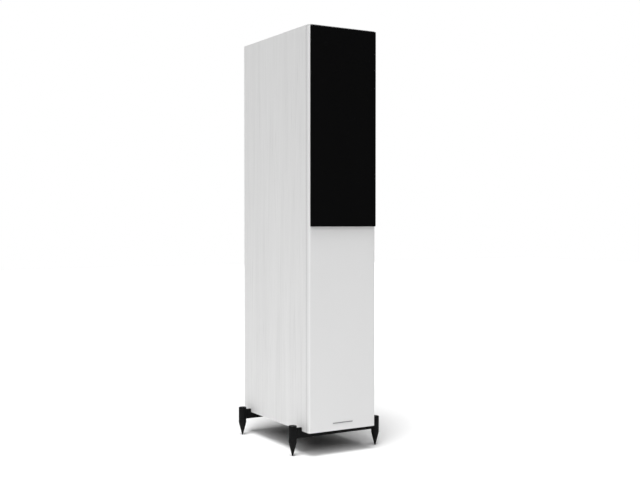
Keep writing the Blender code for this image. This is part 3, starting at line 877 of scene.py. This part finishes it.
def make_tweeter():
    """Shallow horn faceplate, its screws, and the dome."""
    centre = (0.0, FRONT, middle("tweeter_faceplate").z)
    edge = half_size("tweeter_faceplate").x
    plate = [(0.0172, 0.0100), (0.0172, 0.0064), (0.0186, 0.0050), (0.0215, 0.0036)]
    plate += [(0.0255, 0.0025), (0.0300, 0.0015), (0.0345, 0.0008), (0.0390, SUNK)]
    plate += [(edge, SUNK), (edge, 0.0043), (0.0345, 0.0043), (0.0345, 0.0100)]
    guide = lathe("tweeter_waveguide", plate, PLASTIC, centre, 0.0004, segments=120)
    settle(guide, CABINET, "black_plastic", "tweeter_faceplate")
    dome = lathe("tweeter_soft_dome", dome_profile(), SILK, centre, segments=96)
    settle(dome, "tweeter_diaphragm", "silk_dome", "tweeter_dome")
    spots = circle_points(Vector(centre) + Vector((0, SUNK, 0)), edge - DRIVER_INSET, 4, pi / 4)
    screws("tweeter_screws", CABINET, spots, (0, -1, 0), *TWEETER_SCREW)
    repaint("tweeter_magnet", FERRITE)


# Back


def port_flare():
    """Trumpet end of a port's bore."""
    spread, start, depth, steps = 0.0085, -0.018, 0.0206, 12
    flare = []
    for k in range(steps + 1):
        angle = pi / 2 * k / steps
        flare.append((PORT_BORE + spread * (1 - cos(angle)), start + depth * sin(angle)))
    return flare


def make_ports():
    """Moulded tubes, flared at the back."""
    for node in ("port_upper", "port_lower"):
        centre = (0.0, BACK, middle(node).z)
        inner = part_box(node)[0][1] - BACK
        profile = [(PORT_BORE, inner)] + port_flare()
        profile += [(0.0352, 0.0030), (0.0365, 0.0026), (0.0370, 0.0018), (0.0370, 0.0002)]
        profile += [(0.0318, 0.0002), (0.0300, -0.0060), (0.0270, -0.0180), (0.0270, inner)]
        tube = lathe(f"{node}_flare", profile, PLASTIC, centre, segments=96)
        settle(tube, CABINET, "black_plastic", node)


def make_terminals():
    """Moulded panel with a shallow tray behind, four screws and two posts."""
    low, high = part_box("terminal_plate")
    centre, half = middle("terminal_plate"), half_size("terminal_plate")
    face = high[1]
    rim, bore = 0.010, 0.0042
    outline = rounded_box(half.x, half.z, 0.006, 8, (centre.x, centre.z))
    plate = add_piece("terminal_panel", prism_mesh(outline, BACK + 0.0001, face, 1), PLASTIC)
    tray = rounded_box(half.x - rim, half.z - rim, 0.003, 4, (centre.x, centre.z))
    combine(plate, [prism_mesh(tray, low[1], face - 0.001, 1)], "UNION")
    holes = []
    for colour in ("red", "black"):
        spot = (middle(f"post_{colour}").x, BACK, centre.z)
        hole = [(0, -0.03), (bore, -0.03), (bore, 0.01), (0, 0.01)]
        holes.append(lathe_mesh(hole, spot, segments=48))
    combine(plate, holes, "DIFFERENCE")
    bevelled(plate, 0.0006, 3)
    settle(plate, CABINET, "black_plastic", "terminal_plate")
    across, up = half.x - 0.0065, half.z - 0.0065
    spots = []
    for sx in (-1, 1):
        for sz in (-1, 1):
            spots.append((centre.x + sx * across, face, centre.z + sz * up))
    screws("terminal_screws", CABINET, spots, (0, 1, 0), *TERMINAL_SCREW)
    make_post("red", RED, "red_plastic", face)
    make_post("black", PLASTIC, "black_plastic", face)


def make_post(colour, shade, slot, face):
    """Gold post with a coloured seat ring, clamp washer and fluted knob."""
    spot = (middle(f"post_{colour}").x, BACK, middle(f"post_{colour}").z)
    seat = [(0.0072, face - BACK), (0.0105, face - BACK), (0.0105, 0.0042), (0.0072, 0.0042)]
    settle(lathe(f"seat_ring_{colour}", seat, shade, spot, 0.0004), CABINET, slot)
    stud = [(0, -0.026), (0.0030, -0.026), (0.0030, 0.0034), (0.0065, 0.0034)]
    stud += [(0.0065, 0.0066), (0.0030, 0.0066), (0.0030, 0.0245), (0, 0.0245)]
    post = lathe(f"gold_post_{colour}", stud, GOLD, spot, 0.0003, segments=48)
    settle(post, CABINET, "gold_plate", f"post_{colour}")
    ring = [(0.0034, 0.0069), (0.0062, 0.0069), (0.0062, 0.0077), (0.0034, 0.0077)]
    washer = lathe(f"washer_{colour}", ring, GOLD, spot, 0.0002, segments=48)
    settle(washer, f"{colour}_washer", "gold_plate", f"clamp_washer_{colour}")

    def flutes(angle, height):
        depth, count = 0.055, 16
        grip = 0.0110 < height < 0.0232
        return 1.0 - (depth * (0.5 + 0.5 * cos(count * angle)) if grip else 0.0)

    base = [(0.0034, 0.0080), (0.0066, 0.0080), (0.0072, 0.0086), (KNOB_RADIUS, 0.0098)]
    grip = [(KNOB_RADIUS, height) for height in (0.0109, 0.0112, 0.0171, 0.0230, 0.0234)]
    tip = [(0.0074, 0.0248), (0.0066, 0.0256), (0.0050, 0.0256)]
    tip += [(0.0048, 0.0250), (0.0034, 0.0250)]
    outline = base + grip + tip
    knob = lathe(f"fluted_knob_{colour}", outline, shade, spot, segments=160, ripple=flutes)
    settle(knob, f"{colour}_knob", slot, f"knob_{colour}")
    sleeve = [(0.0033, 0.0246), (0.0047, 0.0251), (0.0047, 0.0260)]
    sleeve += [(0.0042, 0.0260), (0.0033, 0.0254)]
    bush = lathe(f"knob_bush_{colour}", sleeve, GOLD, spot, segments=48)
    settle(bush, f"{colour}_knob", "gold_plate")


# Inside


def make_wadding():
    """Uneven fibre mat, made by pushing a fine box's points about with fixed noise."""
    centre, half = middle("damping_wadding"), half_size("damping_wadding")
    thin, shrink, scale, lump = 0.92, 0.97, 42.0, 0.0022
    bm = bmesh.new()
    bmesh.ops.create_cube(bm, size=2.0)
    bmesh.ops.subdivide_edges(bm, edges=bm.edges, cuts=20, use_grid_fill=True)
    for vert in bm.verts:
        unit = vert.co.copy()
        pull = 1.0 - 0.06 * (abs(unit.x) ** 6 + abs(unit.z) ** 6)
        spot = Vector((unit.x * half.x, unit.y * half.y * pull * thin, unit.z * half.z)) * shrink
        spot.y += noise.noise(spot * scale) * lump
        vert.co = centre + spot
    mat = add_piece("fibre_mat", bm, FIBRE, 60)
    settle(mat, CABINET, "wadding", "damping_wadding")


def make_inside():
    """Finishes of the parts behind the boards."""
    for node, material in (
        ("crossover_board", CIRCUIT),
        ("inductor_bass", COPPER),
        ("inductor_treble", COPPER),
        ("capacitor_bass", FILM),
        ("capacitor_treble", FILM),
        ("lead_bass", SLEEVE),
        ("lead_midbass", SLEEVE),
        ("lead_tweeter", SLEEVE),
    ):
        repaint(node, material)
    make_wadding()


# Feet


def make_outrigger(row):
    """Blade with raised ends, round bosses and a screwed flange under the cabinet."""
    node = f"outrigger_{row}"
    low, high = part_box(node)
    y = middle(node).y
    foot = middle(f"spike_{row}_right").x
    boss_radius, bore, easing, half_blade = high[0] - foot, 0.0045, 0.0005, 0.003
    flange_x, flange_y, flange_corner, screw_row = 0.075, 0.017, 0.004, 0.0105
    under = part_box("bottom_panel")[0][2]
    flange_low, flange_high = under - 0.0033, under - 0.0003
    bar_low, end_top, step = low[2] + 0.0006, high[2] - 0.0006, under - 0.0009
    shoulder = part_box("side_panel_right")[1][0] + 0.0012
    reach = foot - 0.7 * boss_radius
    outline = [(-reach, bar_low), (reach, bar_low), (reach, end_top), (shoulder, end_top)]
    outline += [(shoulder, step), (-shoulder, step), (-shoulder, end_top), (-reach, end_top)]
    blade = prism_mesh(outline, y - half_blade, y + half_blade, 1)
    bar = add_piece(f"outrigger_bar_{row}", blade, POWDER)
    flange = rounded_box(flange_x, flange_y, flange_corner, 6, (0.0, y))
    parts = [prism_mesh(flange, flange_low, flange_high, 2)]
    boss = [(bore, low[2]), (boss_radius, low[2]), (boss_radius, high[2]), (bore, high[2])]
    for side in (-1, 1):
        outer = softened(boss, easing, True)
        parts.append(lathe_mesh(outer, (side * foot, y, 0), axis="Z", segments=64))
    combine(bar, parts, "UNION")
    bevelled(bar, 0.0005, 2, 50.0)
    settle(bar, CABINET, "black_powder", node)
    spots = []
    for x in (-0.062, -0.024, 0.024, 0.062):
        for side in (-1, 1):
            spots.append((x, y + side * screw_row, flange_low))
    screws(f"outrigger_screws_{row}", CABINET, spots, (0, 0, -1), *OUTRIGGER_SCREW)


def thread_profile(low, high):
    """Stud with the crests and roots of a thread, as closed rings one pitch apart."""
    pitch, crest, root = 0.00125, 0.0040, 0.0034
    profile = [(0, low + 0.0001), (root, low + 0.0001)]
    turns = int((high - low - 0.001) / pitch)
    for k in range(turns):
        start = low + 0.0003 + k * pitch
        profile += [(root, start), (crest, start + 0.4 * pitch), (crest, start + 0.6 * pitch)]
    profile += [(root, high - 0.0006), (root, high), (0, high)]
    return profile


def make_foot(corner):
    """Spike on its threaded stud below the outrigger, and the locking ring above it."""
    centre = middle(f"spike_{corner}")
    spot = (centre.x, centre.y, 0.0)
    radius = half_size(f"spike_{corner}").x
    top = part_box(f"spike_{corner}")[1][2]
    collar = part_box(f"outrigger_{corner.split('_')[0]}")[0][2] - 0.0003
    profile = [(0, 0), (0.0010, 0), (0.0014, 0.0006), (radius - 0.0003, 0.0302)]
    neck, neck_top = 0.0035, collar + 0.001
    profile += [(radius, 0.0312), (radius, collar), (neck, collar)]
    profile += [(neck, neck_top), (0, neck_top)]
    spike = lathe(
        f"levelling_spike_{corner}", profile, POWDER, spot, 0.0004, axis="Z", segments=72
    )
    settle(spike, f"{corner}_spike", "black_powder", f"spike_{corner}")
    thread = thread_profile(collar, top)
    stud = lathe(f"threaded_stud_{corner}", thread, SCREW, spot, axis="Z", segments=48)
    settle(stud, f"{corner}_spike", "black_powder")
    make_lock_ring(corner, spot, radius)


def make_lock_ring(corner, spot, radius):
    """Knurled ring on top of an outrigger's end."""
    node = f"lock_ring_{corner}"
    low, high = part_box(node)[0][2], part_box(node)[1][2]

    def knurl(angle, height):
        depth, count = 0.022, 40
        grip = low + 0.0010 < height < high - 0.0012
        return 1.0 - (depth * (0.5 + 0.5 * cos(count * angle)) if grip else 0.0)

    ring = [(0.0044, low), (radius - 0.0004, low), (radius, low + 0.0005)]
    ring += [(radius, low + 0.0009), (radius, low + 0.0012), (radius, high - 0.0014)]
    ring += [(radius, high - 0.0011), (radius, high - 0.0008), (radius - 0.0008, high)]
    ring += [(0.0050, high), (0.0044, high - 0.0006)]
    nut = lathe(f"locking_ring_{corner}", ring, POWDER, spot, axis="Z", segments=240, ripple=knurl)
    settle(nut, f"{corner}_lock_ring", "black_powder", node)


def make_feet():
    """Two outriggers with a foot at each end."""
    for row in ("front", "rear"):
        make_outrigger(row)
        for side in ("left", "right"):
            make_foot(f"{row}_{side}")


# Studio


def make_floor():
    """Wide pale floor with a trace of mottling."""
    bm = bmesh.new()
    size = 9.0
    signs = ((-1, -1), (1, -1), (1, 1), (-1, 1))
    bm.faces.new([bm.verts.new((sx * size, sy * size, 0.0)) for sx, sy in signs])
    surface = Surface("pale_floor", (0.90, 0.90, 0.90), 0.9, specular=0.0)
    grain = surface.noise(3.0, 3.0)
    surface.tint(grain, (0.905, 0.905, 0.905), (0.895, 0.895, 0.895))
    mesh = bpy.data.meshes.new("floor")
    bm.to_mesh(mesh)
    bm.free()
    mesh.materials.append(surface.material)
    floor = bpy.data.objects.new("floor", mesh)
    bpy.context.scene.collection.objects.link(floor)


def soft_light(name, tilt, heading, spread, strength):
    """Distant lamp of a wide angle: it stands tilt degrees from overhead, on the side of a
    heading that is counted from the front towards the viewer's left."""
    light = bpy.data.lights.new(name, "SUN")
    light.angle = radians(spread)
    light.energy = strength
    lamp = bpy.data.objects.new(name, light)
    away = radians(tilt)
    side = radians(heading)
    towards = Vector((-sin(away) * sin(side), -sin(away) * cos(side), cos(away)))
    lamp.rotation_euler = towards.to_track_quat("Z", "Y").to_euler()
    bpy.context.scene.collection.objects.link(lamp)


def make_light():
    """Surroundings that light from overhead and look white, a ceiling softbox and a large
    soft key in front."""
    world = bpy.data.worlds.new("studio")
    world.use_nodes = True
    tree = world.node_tree
    background = tree.nodes["Background"]
    background.inputs["Color"].default_value = (1.0, 1.0, 1.0, 1.0)
    place = tree.nodes.new("ShaderNodeTexCoord")
    split = tree.nodes.new("ShaderNodeSeparateXYZ")
    ceiling = tree.nodes.new("ShaderNodeMapRange")
    seen = tree.nodes.new("ShaderNodeLightPath")
    choose = tree.nodes.new("ShaderNodeMix")
    tree.links.new(place.outputs["Generated"], split.inputs[0])
    tree.links.new(split.outputs["Z"], ceiling.inputs["Value"])
    ceiling.inputs["From Min"].default_value = CEILING_START
    ceiling.inputs["To Min"].default_value = HORIZON
    ceiling.inputs["To Max"].default_value = ZENITH
    tree.links.new(seen.outputs["Is Camera Ray"], choose.inputs["Factor"])
    tree.links.new(ceiling.outputs["Result"], choose.inputs["A"])
    choose.inputs["B"].default_value = 1.0
    tree.links.new(choose.outputs["Result"], background.inputs["Strength"])
    scene = bpy.context.scene
    scene.world = world
    scene.view_settings.view_transform = "Standard"
    scene.view_settings.look = "None"
    soft_light("ceiling_softbox", **CEILING_LIGHT)
    soft_light("front_key", **KEY_LIGHT)


def make_camera():
    """Three-quarter view from about half the cabinet's height, left of the front."""
    camera = bpy.data.cameras.new("camera")
    camera.sensor_width = 36.0
    camera.lens = LENS
    rig = bpy.data.objects.new("camera", camera)
    rig.location = (CAMERA_X, FRONT - CAMERA_AHEAD, CAMERA_Z)
    forward = Vector((sin(YAW) * cos(PITCH), cos(YAW) * cos(PITCH), sin(PITCH)))
    rig.rotation_euler = forward.to_track_quat("-Z", "Y").to_euler()
    bpy.context.scene.collection.objects.link(rig)
    bpy.context.scene.camera = rig


make_camera()
make_light()
make_floor()
make_cabinet()
make_baffle()
make_badge()
make_grille()
for unit in UNITS:
    make_woofer(unit)
make_tweeter()
make_ports()
make_terminals()
make_inside()
make_feet()
